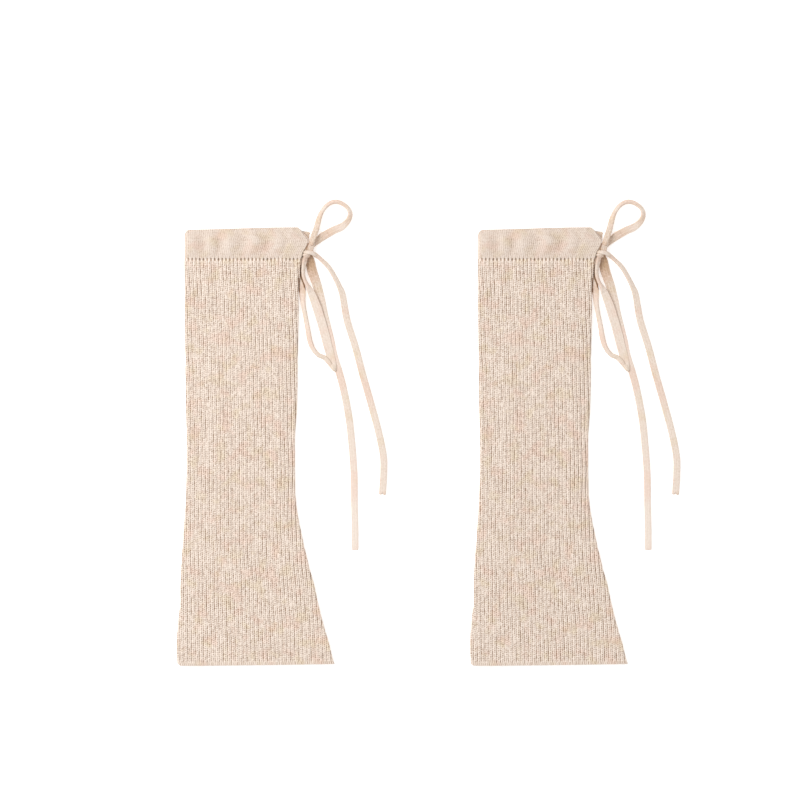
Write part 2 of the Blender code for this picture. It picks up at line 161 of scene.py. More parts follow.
# brings a finished shape to its place on the table, in metres
def finishPiece(bm, name, material, slotName):
    bmesh.ops.remove_doubles(bm, verts=bm.verts, dist=warmer["mergeDistance"])
    bmesh.ops.translate(bm, verts=bm.verts, vec=warmer["corner"])
    bmesh.ops.scale(bm, verts=bm.verts, vec=(mm, mm, mm))
    mesh = bpy.data.meshes.new(name)
    bm.to_mesh(mesh)
    bm.free()
    mesh.shade_smooth()
    mesh.materials.append(material)
    piece = bpy.data.objects.new(name, mesh)
    bpy.context.scene.collection.objects.link(piece)
    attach(piece, "root")
    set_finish(piece, slotName)
    print(name, len(mesh.polygons), "faces")
    return piece


# the right warmer's piece is the left one's, a pair pitch further along the table
def secondOf(piece, name):
    mesh = piece.data.copy()
    mesh.name = name
    mesh.transform(Matrix.Translation((warmer["pairPitch"] * mm, 0, 0)))
    other = bpy.data.objects.new(name, mesh)
    bpy.context.scene.collection.objects.link(other)
    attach(other, "root")
    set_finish(other, piece["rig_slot"])
    return other


# camera, looking straight down as the photograph does
view = {"lens": 140.6, "sensor": 36.0, "height": 3.0, "centre": (-0.00204, 0.04488)}
cameraData = bpy.data.cameras.new("overheadCamera")
cameraData.lens = view["lens"]
cameraData.sensor_width = view["sensor"]
camera = bpy.data.objects.new("overheadCamera", cameraData)
camera.location = (*view["centre"], view["height"])
bpy.context.scene.collection.objects.link(camera)
bpy.context.scene.camera = camera
print("camera placed")


# knitted finishes
# what all the yarn has in common: depths are in metres
yarn = {
    "fibreScale": 5200.0, "fibreStrength": 0.35, "fibreDepth": 0.00012, "plyDepth": 0.0003,
    "fleckRange": (0.25, 0.72), "fleckHue": (1.0, 0.985, 0.965),
    "roughness": (0.82, 0.96), "specular": 0.2, "sheenRoughness": 0.45,
    "mottleScale": 600.0,    # in place of the stitches' own tone, where a mesh has none
}


# adds a shader node: settings are its own values, and each keyword is an input, with _ for a space
def addNode(tree, kind, settings=None, **inputs):
    made = tree.nodes.new(kind)
    for key, value in (settings or {}).items():
        setattr(made, key, value)
    for key, value in inputs.items():
        socket = made.inputs[key.replace("_", " ")]
        if hasattr(value, "is_output"):
            tree.links.new(value, socket)
        else:
            socket.default_value = value
    return made


def addRamp(tree, fac, stops):
    ramp = tree.nodes.new("ShaderNodeValToRGB")
    while len(ramp.color_ramp.elements) < len(stops):
        ramp.color_ramp.elements.new(0.5)
    for element, (place, colour) in zip(ramp.color_ramp.elements, stops):
        element.position = place
        element.color = (*colour, 1.0)
    tree.links.new(fac, ramp.inputs["Fac"])
    return ramp.outputs["Color"]


# multiplies a colour by another, as far as fac lets it
def tint(tree, colour, by, fac):
    multiply = {"data_type": "RGBA", "blend_type": "MULTIPLY"}
    return addNode(tree, "ShaderNodeMix", multiply, A=colour, B=by, Factor=fac).outputs["Result"]


def knitMaterial(name, look):
    material = bpy.data.materials.new(name)
    material.use_nodes = True
    tree = material.node_tree
    shader = tree.nodes["Principled BSDF"]
    if look["onCloth"]:
        place = addNode(tree, "ShaderNodeAttribute", {"attribute_name": "cloth"}).outputs["Vector"]
        tone = addNode(tree, "ShaderNodeAttribute", {"attribute_name": "tone"}).outputs["Fac"]
    else:
        place = tree.nodes.new("ShaderNodeTexCoord").outputs["Object"]
        mottle = addNode(tree, "ShaderNodeTexNoise", Vector=place, Scale=yarn["mottleScale"], Detail=2.0)
        tone = mottle.outputs["Fac"]
    # the tone picks the yarn's colour; where it comes from the mesh it carries painted shade and light as well as the
    # yarn's own unevenness
    colour = addRamp(tree, tone, look["tones"])
    for scale, low, high, hue in look["patches"]:
        cloud = addNode(tree, "ShaderNodeTexNoise", Vector=place, Scale=scale, Detail=2.0, Roughness=0.45)
        amount = addRamp(tree, cloud.outputs["Fac"], ((low, (0, 0, 0)), (high, (1, 1, 1))))
        colour = tint(tree, colour, (*hue, 1.0), amount)
    fleck = addNode(tree, "ShaderNodeTexNoise", Vector=place, Scale=look["fleckScale"], Detail=3.0, Roughness=0.6)
    low, high = yarn["fleckRange"]
    dimmed = [look["fleckDim"] * part for part in yarn["fleckHue"]]
    flecks = addRamp(tree, fleck.outputs["Fac"], ((low, dimmed), (high, (1, 1, 1))))
    colour = tint(tree, colour, flecks, 1.0)
    tree.links.new(colour, shader.inputs["Base Color"])

    # spun yarn: fine fibres over slightly uneven ply
    fibre = addNode(tree, "ShaderNodeTexNoise", Vector=place, Scale=yarn["fibreScale"], Detail=4.0, Roughness=0.7)
    ply = addNode(tree, "ShaderNodeTexNoise", Vector=place, Scale=look["plyScale"], Detail=1.0, Distortion=0.6)
    fibreBump = addNode(tree, "ShaderNodeBump", Height=fibre.outputs["Fac"], Strength=yarn["fibreStrength"],
                        Distance=yarn["fibreDepth"])
    plyBump = addNode(tree, "ShaderNodeBump", Height=ply.outputs["Fac"], Strength=look["plyStrength"],
                      Distance=yarn["plyDepth"], Normal=fibreBump.outputs["Normal"])
    tree.links.new(plyBump.outputs["Normal"], shader.inputs["Normal"])
    low, high = yarn["roughness"]
    rough = addNode(tree, "ShaderNodeMapRange", Value=fleck.outputs["Fac"], To_Min=low, To_Max=high)
    tree.links.new(rough.outputs["Result"], shader.inputs["Roughness"])
    shader.inputs["Specular IOR Level"].default_value = yarn["specular"]
    shader.inputs["Sheen Weight"].default_value = look["sheen"]
    shader.inputs["Sheen Roughness"].default_value = yarn["sheenRoughness"]
    return material


pinkPatch = (0.99, 0.92, 0.9)
khakiPatch = (0.955, 0.94, 0.86)
ribbedKnit = knitMaterial("ribbedKnit", {
    "onCloth": True,
    "tones": ((0.0, (0.29, 0.165, 0.095)), (0.3, (0.55, 0.42, 0.33)), (0.65, (0.80, 0.665, 0.565)),
              (1.0, (1.0, 0.875, 0.775))),
    "patches": ((62.0, 0.52, 0.66, pinkPatch), (71.0, 0.53, 0.68, khakiPatch)),
    "fleckScale": 620.0, "fleckDim": 0.88, "plyScale": 1500.0, "plyStrength": 0.35,
    "sheen": 0.05,
})
smoothKnit = knitMaterial("smoothKnit", {
    "onCloth": True,
    "tones": ((0.0, (0.30, 0.19, 0.13)), (0.3, (0.60, 0.47, 0.38)), (0.65, (0.81, 0.68, 0.585)),
              (1.0, (0.94, 0.82, 0.73))),
    "patches": ((58.0, 0.5, 0.68, pinkPatch), (66.0, 0.5, 0.7, khakiPatch)),
    "fleckScale": 800.0, "fleckDim": 0.9, "plyScale": 1700.0, "plyStrength": 0.25,
    "sheen": 0.08,
})
cordKnit = knitMaterial("cordKnit", {
    "onCloth": True,
    "tones": ((0.0, (0.24, 0.135, 0.075)), (0.24, (0.49, 0.35, 0.245)), (0.45, (0.68, 0.525, 0.40)),
              (0.72, (0.86, 0.73, 0.63)), (1.0, (0.95, 0.83, 0.74))),
    "patches": ((48.0, 0.46, 0.6, pinkPatch), (57.0, 0.54, 0.7, khakiPatch)),
    "fleckScale": 700.0, "fleckDim": 0.92, "plyScale": 1600.0, "plyStrength": 0.3,
    "sheen": 0.05,
})
hiddenCordKnit = knitMaterial("hiddenCordKnit", {
    "onCloth": False,
    "tones": ((0.3, (0.62, 0.47, 0.36)), (0.7, (0.84, 0.69, 0.58))),
    "patches": ((75.0, 0.5, 0.68, pinkPatch),),
    "fleckScale": 700.0, "fleckDim": 0.9, "plyScale": 1600.0, "plyStrength": 0.3,
    "sheen": 0.15,
})
print("knitted finishes ready")


# drawstring: each row is where the cord's middle lies, what height lies under it, how wide it looks
# from above and how much painted shade its yarn carries, or painted light where that is below zero
cord = {
    "flatWidth": 7.0, "flatThick": 2.3,      # lying open
    "curledWidth": 4.3, "curledThick": 3.1,  # rolled in on itself
    "curledTurn": 48.0, "curledSeen": 3.9, "handFull": 0.7,
    "stretchedThick": 1.8,                   # pulled wider than it is
    "wales": 8, "columnsPerWale": 4, "waleDepth": 0.2,
    "course": 1.5, "stitchRise": 0.07, "chevron": 0.5, "unevenness": 0.12, "standOff": 0.12,
    # the groove, shade and side terms paint shade: in the wale grooves, along shaded stretches and down the cord's
    # sides; the loose term is the yarn's own uneven tone
    "tone": 0.85, "grooveShade": 0.12, "stitchTone": 0.06, "looseTone": 0.2, "shadeTone": 0.62, "sideShade": 0.12,
    "ends": ((0.0, 0.0), (0.12, 0.45), (0.35, 0.72), (0.7, 0.9), (1.15, 0.985)),  # how far in, how full
    "flatNarrows": 0.25, "edgeNarrows": 0.6,  # how much an end narrows on its flats and round its edges
    "notch": 1.1,                            # how deep a two-lobed end is notched
    "clothPitch": 0.0005,                    # from column to column on the flat cloth, in metres
    "routeSteps": 16,
}
upperLoop = (
    (128.0, 403.2, 4.4, 4.2, 0.4), (129.0, 406.4, 4.6, 4.8, 0.38), (130.6, 410.9, 4.0, 5.2, 0.36),
    (132.7, 417.2, 2.4, 5.1, 0.32), (134.5, 423.8, 0.9, 4.9, 0.2), (136.4, 430.6, 0.2, 4.2, 0.1),
    (139.0, 436.3, 0, 3.6, 0.1), (143.3, 441.6, 0, 3.5, 0.1), (148.3, 444.6, 0, 3.6, 0.15),
    (153.4, 445.1, 0, 3.6, 0.15), (158.9, 443.0, 0, 3.6, 0.05), (163.7, 438.9, 0, 3.6, 0),
    (165.8, 433.9, 0, 3.9, 0), (164.4, 428.2, 0, 4.6, 0), (160.3, 423.3, 0, 6.0, 0),
    (155.6, 420.2, 0, 7.1, 0.05), (150.7, 418.2, 0, 7.0, 0.1), (145.4, 415.4, 0, 7.3, 0.2),
    (140.2, 412.3, 0, 7.2, 0.36), (135.4, 408.7, 0.2, 6.3, 0.42), (131.6, 405.2, 1.0, 4.8, 0.45),
    (128.9, 402.1, 1.6, 4.0, 0.5),
)
lowerLoop = (
    (124.2, 394.0, 2.8, 3.6, 0.6), (123.2, 391.4, 3.0, 3.8, 0.35), (122.2, 387.4, 3.2, 4.0, 0.2),
    (121.3, 382.4, 3.2, 3.4, 0.1), (120.9, 377.8, 3.1, 3.1, 0.05), (121.4, 373.0, 3.0, 2.9, 0.1),
    (122.9, 368.6, 3.0, 2.9, 0.1), (125.2, 364.3, 3.0, 3.5, 0.05), (127.2, 360.7, 3.0, 5.0, 0.0),
    (128.9, 356.6, 3.0, 6.7, 0), (131.6, 349.9, 2.8, 7.7, 0), (134.3, 342.2, 2.5, 8.3, 0),
    (137.0, 333.6, 2.1, 8.4, 0), (139.9, 324.0, 1.7, 8.4, 0), (142.4, 314.4, 1.3, 8.4, 0),
    (144.4, 306.6, 1.1, 8.2, 0), (146.4, 299.5, 1.0, 8.0, 0), (147.9, 294.2, 0.9, 7.4, 0),
    (149.5, 289.2, 0.8, 5.8, 0), (150.8, 285.6, 0.7, 3.9, 0), (151.2, 283.4, 0.6, 2.6, 0),
    (150.3, 284.0, 0.5, 2.8, 0.1), (147.6, 287.8, 0.1, 3.4, 0.15), (144.6, 291.9, 0.1, 4.0, 0.15),
    (141.6, 295.0, 0.1, 4.0, 0.1), (138.9, 296.5, 0.1, 3.8, 0.1), (135.2, 298.1, 0, 3.6, 0.1),
    (131.4, 302.1, 0, 3.7, 0.1),
    (128.4, 307.7, 0, 4.2, 0.05), (126.4, 315.1, 0, 4.4, 0.05), (125.1, 323.0, 0, 4.2, 0),
    (123.6, 331.0, 0, 3.9, 0), (122.5, 337.0, 0, 3.7, 0), (121.4, 342.9, 0, 3.7, 0),
    (120.5, 349.0, 0, 4.2, 0), (120.0, 355.5, 0, 5.4, 0.05), (119.6, 360.5, 0, 6.4, 0.1),
    (119.3, 367.2, 0, 5.4, 0.15), (119.5, 373.9, 0, 4.4, 0.35), (119.9, 381.6, 0.4, 3.9, 0.4),
    (120.8, 389.3, 1.6, 3.7, 0.3), (122.2, 392.9, 2.4, 3.5, 0.3),
)
longTail = (
    (125.9, 394.5, 0.8, 4.8, 0.8), (126.8, 391.2, 0.4, 6.9, 0.78), (127.5, 387.4, 0.1, 8.3, 0.76),
    (129.0, 379.7, 0, 8.9, 0.6), (131.4, 372.5, 0, 8.7, 0.42), (133.9, 365.3, 0, 8.3, 0.32),
    (136.1, 357.6, 0, 7.7, 0.22), (138.3, 349.0, 0, 7.3, 0.16), (140.2, 339.4, 0, 7.1, 0.08),
    (142.6, 329.8, 0, 6.9, 0), (145.1, 320.2, 0, 6.7, -0.06), (147.4, 310.6, 0, 6.7, -0.12),
    (149.2, 301.0, 0, 6.7, -0.14), (151.8, 291.4, 0, 6.8, -0.1), (154.4, 283.7, 0, 6.7, 0),
    (159.5, 264.5, 0, 6.5, 0), (164.6, 237.6, 0, 6.5, 0), (167.5, 210.7, 0, 6.4, -0.06),
    (169.4, 183.8, 0, 6.3, -0.2), (169.8, 157.0, 0, 6.2, -0.26), (170.4, 130.1, 0, 6.2, -0.26),
    (170.4, 110.8, 0, 6.3, -0.26),
)
shortTail = (
    (128.6, 395.8, 4.6, 3.6, 0.1), (130.8, 395.0, 3.6, 3.7, 0.1), (132.8, 393.8, 2.4, 3.8, 0.05),
    (135.0, 392.2, 1.2, 3.5, 0.05), (138.7, 389.0, 0.2, 3.4, 0.1), (145.0, 382.6, 0, 3.9, 0.12),
    (150.7, 373.4, 0, 3.9, 0.1), (155.5, 363.4, 0, 4.6, 0.05), (158.5, 355.3, 0, 5.8, 0.1),
    (162.7, 331.7, 0, 6.3, 0.1), (171.0, 304.8, 0, 6.3, 0.05), (178.1, 277.9, 0, 6.3, 0.05),
    (185.8, 251.0, 0, 6.3, 0), (193.0, 224.2, 0, 6.3, 0), (197.5, 201.6, 0, 6.4, 0),
    (197.9, 184.3, 0, 6.4, 0), (196.6, 163.9, 0, 6.5, 0),
)


# a knitted wale across its width: 0 in the groove, 1 on each leg of the stitch, lower down its middle
def waleShape(f):
    return math.sin(math.pi * f) ** 0.6 - 0.2 * math.exp(-(((f - 0.5) / 0.1) ** 2))


# evenly spaced rows along a smooth curve through a route
def alongRoute(rows, spacing):
    fine = []
    for i in range(len(rows) - 1):
        before, start, end, after = rows[max(i - 1, 0)], rows[i], rows[i + 1], rows[min(i + 2, len(rows) - 1)]
        for step in range(cord["routeSteps"]):
            t = step / cord["routeSteps"]
            fine.append([
                (1 + 2 * t) * (1 - t) ** 2 * b + t * t * (3 - 2 * t) * c
                + t * (1 - t) ** 2 * (c - a) / 2 + t * t * (t - 1) * (d - b) / 2
                for a, b, c, d in zip(before, start, end, after)])
    fine.append(list(rows[-1]))
    lengths = [0.0]
    for first, second in zip(fine, fine[1:]):
        lengths.append(lengths[-1] + math.dist(first[:2], second[:2]))
    count = max(round(lengths[-1] / spacing), 4)
    points, i = [], 0
    for step in range(count + 1):
        target = lengths[-1] * step / count
        while i < len(lengths) - 2 and lengths[i + 1] < target:
            i += 1
        t = (target - lengths[i]) / (lengths[i + 1] - lengths[i])
        points.append([mix(a, b, t) for a, b in zip(fine[i], fine[i + 1])])
    return points


# how a stretch of cord lies, from how wide it looks: its width, thickness, turn and half its height
def cordSection(seen):
    seen += cord["handFull"]
    curl = min(max((cord["flatWidth"] - seen) / (cord["flatWidth"] - cord["curledSeen"]), -0.5), 1.2)
    if curl < 0:
        thick = mix(cord["flatThick"], cord["stretchedThick"], -2 * curl)
        return seen, thick, 0.0, thick / 2
    width = mix(cord["flatWidth"], cord["curledWidth"], curl)
    thick = mix(cord["flatThick"], cord["curledThick"], curl)
    turn = math.radians(cord["curledTurn"] * curl)
    width = max(thick + 0.2, thick + (seen - thick) / max(math.cos(turn), 0.3))
    return width, thick, turn, ((width - thick) * math.sin(turn) + thick) / 2


# adds one stretch of knitted cord to a mesh, and returns the line down its middle
def addCord(bm, rows, seed, twoLobed=False):
    points = alongRoute(rows, cord["course"] / 2)
    columns = cord["wales"] * cord["columnsPerWale"]
    sections = [cordSection(row[3]) for row in points]
    middles = [Vector((row[0], row[1], row[2] + section[3] + cord["standOff"]))
               for row, section in zip(points, sections)]
    last = len(points) - 1
    frames = []
    for j in range(last + 1):
        along = (middles[min(j + 1, last)] - middles[max(j - 1, 0)]).normalized()
        side = along.cross(Vector((0, 0, 1))).normalized()
        up = side.cross(along)
        turn = sections[j][2]
        wide, deep = side * math.cos(turn) + up * math.sin(turn), up * math.cos(turn) - side * math.sin(turn)
        frames.append((along, wide, deep))

    # both ends are rounded off over their last millimetre
    plan = [(0, inward, full) for inward, full in cord["ends"]]
    plan += [(j, 0.0, 1.0) for j in range(2, last - 1)]
    plan += [(last, -inward, full) for inward, full in reversed(cord["ends"])]

    def place(i, row):
        j, inward, full = plan[row]
        width, thick = sections[j][:2]
        along, wide, deep = frames[j]
        i = i % columns
        f = (i % cord["columnsPerWale"]) / cord["columnsPerWale"]
        shape = waleShape(f)
        girth = 2 * (width - thick) + math.pi * thick
        a, b, fa, fb = aroundTube(-width / 2, width / 2, -thick / 2, thick / 2, girth * i / columns)
        stitch = 1 if row % 2 else -1
        loose = waver(i * 0.37, row * 0.41, seed)
        rise = full * (-cord["waleDepth"] * (1 - shape) + stitch * cord["stitchRise"] * (0.3 + shape)
                       + cord["unevenness"] * loose)
        lean = cord["chevron"] * (abs(f - 0.5) * 2 - 0.5) * full
        if twoLobed and j == last:
            lean -= cord["notch"] * math.exp(-((a / cord["notch"]) ** 2))
        narrows = cord["flatNarrows"] if abs(a) < (width - thick) / 2 else cord["edgeNarrows"]
        fill = 1 - (1 - full) * narrows
        at = middles[j] + along * (inward + lean) + wide * (a * fill + fa * rise) + deep * (b * full + fb * rise)
        # the yarn's own tone and course pattern, with painted shade in the wale grooves and along shaded stretches,
        # or painted light where a row's shade is below zero
        tone = (cord["tone"] - cord["grooveShade"] * (1 - shape) + cord["stitchTone"] * stitch
                + cord["looseTone"] * loose - cord["shadeTone"] * points[j][4])
        # painted shade down the cord's sides, where they turn away from above
        tone -= cord["sideShade"] * ease(1.25 - abs((wide * fa + deep * fb).z) * 1.6)
        # painted shade in the creases beside the knot, on cord that lies on the table
        if points[j][2] < crease["cordUnder"] and at.x < crease["cordTo"]:
            tone -= creaseShade(at.x, at.y)
        # the seed gives each stretch its own part of the yarn's pattern
        return at, tone, (i * cord["clothPitch"] + seed * 0.1, row * cord["course"] / 2 * mm, 1.1 + seed * 0.29)

    made = knitGrid(bm, columns, len(plan) - 1, place)
    bmesh.ops.remove_doubles(bm, verts=made, dist=warmer["mergeDistance"])
    return middles


# lays one stretch on both warmers and keeps its facts in a list
def layCord(name, rows, node, exitAt, farEnd, seed, twoLobed=False):
    bm = bmesh.new()
    middles = addCord(bm, rows, seed, twoLobed)
    holes = [edge for edge in bm.edges if edge.is_boundary]
    if holes:
        bmesh.ops.holes_fill(bm, edges=holes, sides=0)
    piece = finishPiece(bm, "left" + name, cordKnit, "cord_knit")
    pair = ((piece, "left", 0.0), (secondOf(piece, "right" + name), "right", warmer["pairPitch"]))
    for one, side, shift in pair:
        corner = Vector(warmer["corner"]) + Vector((shift, 0, 0))
        path = [(corner + point) * mm for point in middles]
        length = sum((b - a).length for a, b in zip(path, path[1:]))
        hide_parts(side + "_" + node)
        declared.append((one, side, dict(
            exit=tuple((corner + Vector(exitAt)) * mm), length=round(length, 4), diameter=0.0065,
            far_end=farEnd, stiffness="limp", lay="loose", path=[tuple(point) for point in path])))


declared = []
layCord("UpperLoop", upperLoop, "upper_loop", (128.4, 405.7, 5.4), "object", 1)
layCord("LowerLoop", lowerLoop, "lower_loop", (124.7, 392.1, 6.0), "object", 2)
layCord("LongTail", longTail, "long_tail", (128.5, 391.1, 3.6), "bare", 3)
layCord("ShortTail", shortTail, "short_tail", (130.8, 395.2, 4.6), "bare", 4, twoLobed=True)

# the knot: a fat doubled turn up its middle, the wrap across it and the small turn at its foot
knotTurns = {
    "middle": ((130.2, 406.6, 3.0, 4.6, 0.2), (129.0, 403.6, 3.4, 5.2, 0.22), (127.9, 400.6, 3.6, 5.4, 0.25),
               (127.4, 397.6, 3.2, 5.2, 0.3), (127.2, 394.8, 2.4, 4.8, 0.4)),
    "under": ((125.4, 405.4, 1.4, 3.6, 0.3), (125.2, 402.6, 2.4, 4.4, 0.62), (124.4, 399.4, 2.8, 4.8, 0.7),
              (123.8, 396.4, 2.4, 4.6, 0.7), (124.6, 392.8, 1.4, 4.4, 0.7)),
    "wrap": ((121.9, 397.0, 3.4, 3.2, 0.45), (123.2, 396.7, 5.2, 3.4, 0.2), (125.4, 396.3, 6.0, 3.5, 0.05),
             (128.0, 396.0, 5.9, 3.5, 0.0), (130.6, 395.2, 4.8, 3.5, 0.05), (133.0, 393.8, 3.2, 3.6, 0.1)),
    "foot": ((127.0, 392.8, 2.2, 3.2, 0.5), (124.8, 393.2, 4.2, 3.6, 0.25), (122.6, 393.4, 4.6, 3.6, 0.2),
             (121.0, 393.6, 3.2, 3.2, 0.35)),
}
bm = bmesh.new()
for seed, turn in enumerate(knotTurns):
    addCord(bm, knotTurns[turn], 11 + seed)
bmesh.ops.holes_fill(bm, edges=[edge for edge in bm.edges if edge.is_boundary], sides=0)
leftKnot = finishPiece(bm, "leftKnot", cordKnit, "cord_knit")
rightKnot = secondOf(leftKnot, "rightKnot")
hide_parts("left_knot")
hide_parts("right_knot")
for piece, side, facts in declared:
    facts["with_pieces"] = [leftKnot if side == "left" else rightKnot] if "LongTail" in piece.name else []
for side in ("left", "right"):
    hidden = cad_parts[side + "_drawstring"]
    hidden.data.materials.clear()
    hidden.data.materials.append(hiddenCordKnit)
print("drawstrings laid")


# leg: height above the hem, left and right edges, thickness, how far the ribs have drifted to the
# left and how much they have spread
legRows = (
    (0.0, 0.2, 150.8, 4.2, 0.0, 1.060), (4.0, 0.0, 149.4, 4.2, 0.0, 1.060), (22.0, -0.4, 145.4, 4.0, 0.0, 1.057),
    (46.0, 1.2, 138.5, 4.0, 0.0, 1.048), (61.0, 2.9, 134.6, 4.0, 0.0, 1.041), (76.0, 2.9, 131.4, 4.0, 0.0, 1.033),
    (103.0, 4.3, 124.3, 4.0, 0.0, 1.012), (130.0, 6.2, 118.3, 4.0, 0.0, 1.0),
    (157.0, 8.2, 113.9, 4.0, 0.0, 1.0), (210.0, 9.2, 112.7, 4.0, 0.0, 1.0), (251.0, 8.3, 114.7, 4.0, 0.8, 1.0),
    (304.0, 7.5, 115.7, 4.1, 2.1, 1.0), (345.0, 7.2, 116.3, 4.7, 3.7, 1.0), (362.0, 7.05, 116.2, 5.2, 4.4, 1.0),
    (374.0, 6.95, 117.5, 5.6, 4.95, 1.0), (383.0, 6.85, 118.1, 6.0, 5.35, 1.0), (391.6, 6.8, 119.9, 6.3, 5.65, 1.0),
)
leg = {
    "ribPitch": 3.6, "firstRib": -1.4, "ribRise": 0.75, "ribDepth": 0.8,
    "course": 2.07, "stitchRise": 0.15, "chevron": 0.8, "unevenness": 0.12,
    "skew": 1.8,                             # how far courses wander up and down
    "stagger": 1.2, "staggerLength": 23.0,   # how far one rib's courses shift, and over what length
    # how far grooves part also sets how dark their painted shade is
    "parting": (0.88, 0.6, 0.3),             # how deep grooves part: on the whole, over long and short stretches
    "partingLimits": (0.45, 1.3), "edgeParting": 0.3, "wander": 0.8,
    # the yarn's tone on a rib, the painted shade in a groove and up a rib's middle, how far a course changes each,
    # and the painted shade on columns tucked under the edges
    "tone": 0.93, "grooveShade": 0.92, "middleShade": 0.56, "ribCourse": 0.2, "grooveCourse": 0.3,
    "middleCourse": 0.16, "stitchScatter": 0.1, "yarnScatter": 0.8, "hiddenShade": 0.3,
    "ribsFrom": -5, "ribsTo": 46, "frontColumns": 6, "backColumns": 4,
    "wrapLeft": 9.0, "wrapRight": 8.0, "overlap": 1.2,
    "wall": 1.5, "insideRows": (14.0, 7.0, 1.6), "hemTurn": ((0.35, 1.3), (0.0, 0.85), (0.1, 0.35)),
    "castOff": 2.7, "castOffRows": (0.35, 0.7, 1.05, 1.4, 1.75, 2.1, 2.4), "chainTone": 0.7,
    "hemLift": 1.75, "hemLiftFrom": 10.0, "hemRight": 150.0, "hemCurve": 1.4, "hemLiftUpTo": 40.0,
    "cornerRise": 1.9, "cornerReach": 3.6, "cornerUpTo": 8.0,
    "seamTop": 386.9, "topRows": (387.5, 388.0, 388.5, 389.0, 389.5, 390.1, 390.7, 391.6),
    # the eyelets' tone is painted shade in the holes, and the tabs' tone a painted highlight between them
    "eyeletFrom": 388.3, "eyeletDepth": 1.1, "eyeletWidth": 0.21, "eyeletShade": 0.08, "tabHighlight": 1.05,
    "foldsTop": 389.0, "foldReach": (60.0, 25.0),
    "standOff": 0.16,   # the lowest stitches stay this far above the table
}
# soft folds: where each runs from and to, how wide it is and how far it rises or sinks
legFolds = (
    ((22.0, 389.0), (19.5, 352.0), 4.2, -0.45), ((31.0, 389.0), (29.5, 341.0), 4.6, 0.45),
    ((40.0, 389.0), (41.0, 363.0), 3.6, -0.4), ((49.5, 389.0), (53.0, 334.0), 5.4, 0.4),
    ((60.0, 389.0), (60.5, 358.0), 4.4, -0.35), ((72.5, 389.0), (76.0, 330.0), 5.6, 0.5),
    ((85.0, 389.0), (86.5, 346.0), 5.0, -0.45), ((97.0, 389.0), (95.0, 300.0), 7.0, 0.6),
    ((108.5, 389.0), (106.0, 330.0), 4.6, -0.5), ((17.5, 330.0), (19.0, 190.0), 7.5, -0.3),
    ((95.0, 290.0), (97.0, 175.0), 10.0, 0.35), ((48.0, 300.0), (44.0, 232.0), 8.0, 0.22),
    ((66.0, 262.0), (71.0, 196.0), 9.0, -0.2), ((30.0, 168.0), (24.0, 70.0), 10.0, 0.25),
    ((88.0, 150.0), (104.0, 40.0), 11.0, -0.25), ((60.0, 126.0), (62.0, 34.0), 12.0, 0.22),
    ((118.0, 96.0), (134.0, 22.0), 8.0, 0.3),
)


def foldRise(x, y):
    aside, beyond = leg["foldReach"]
    total = 0.0
    for (x1, y1), (x2, y2), width, rise in legFolds:
        if abs(x - x1) > aside or y < min(y1, y2) - beyond or y > max(y1, y2) + beyond:
            continue
        t = (y - y1) / (y2 - y1)
        middle = mix(x1, x2, t)
        if abs(x - middle) > 2.5 * width:
            continue
        if y1 == leg["foldsTop"]:
            fade = ease((1.15 - t) / 0.6) * ease((t + 0.35) / 0.35)
        else:
            fade = ease(t / 0.3) * ease((1 - t) / 0.3)
        total += rise * fade * math.exp(-(((x - middle) / width) ** 2))
    return total


# a row of the leg: its place in the table, where its cloth lies under the outside and how much it is knit
def legRow(height, inset, relief, stitch, index=0):
    left, right, thick, drift, spread = readTable(legRows, height)
    radius = thick / 2
    quarter = math.pi * radius / 2
    return {
        "height": height, "inset": inset, "relief": relief, "stitch": stitch, "index": index,
        "left": left, "right": right, "thick": thick, "drift": drift, "spread": spread,
        "radius": radius, "quarter": quarter, "flat": right - left - 2 * radius,
    }


# rows from inside the hem, round its edge and up the outside to under the casing
def legPlan():
    plan = [legRow(height, leg["wall"], 0.0, 0) for height in leg["insideRows"]]
    plan += [legRow(height, inset, 0.0, 0) for height, inset in leg["hemTurn"]]
    plan += [legRow(height, 0.0, 1.0, 1 if k % 2 else -1) for k, height in enumerate(leg["castOffRows"])]
    courses = int((leg["seamTop"] - leg["castOff"]) / leg["course"] * 2)
    step = (leg["seamTop"] - leg["castOff"]) / courses
    plan += [legRow(leg["castOff"] + step * k, 0.0, 1.0, 1 if k % 2 else -1, k) for k in range(courses + 1)]
    return plan + [legRow(height, 0.0, 1.0, 0) for height in leg["topRows"]]


# the hem runs up a little towards its right corner
def hemLift(x, height):
    reach = (x - leg["hemLiftFrom"]) / (leg["hemRight"] - leg["hemLiftFrom"])
    fade = ease((leg["hemLiftUpTo"] - height) / leg["hemLiftUpTo"])
    return leg["hemLift"] * min(max(reach, 0.0), 1.0) ** leg["hemCurve"] * fade


# where a line between ribs runs at a row
def ribLine(row, u):
    line = leg["firstRib"] + leg["ribPitch"] * u - row["drift"]
    return (line - row["left"]) * row["spread"] + row["left"]


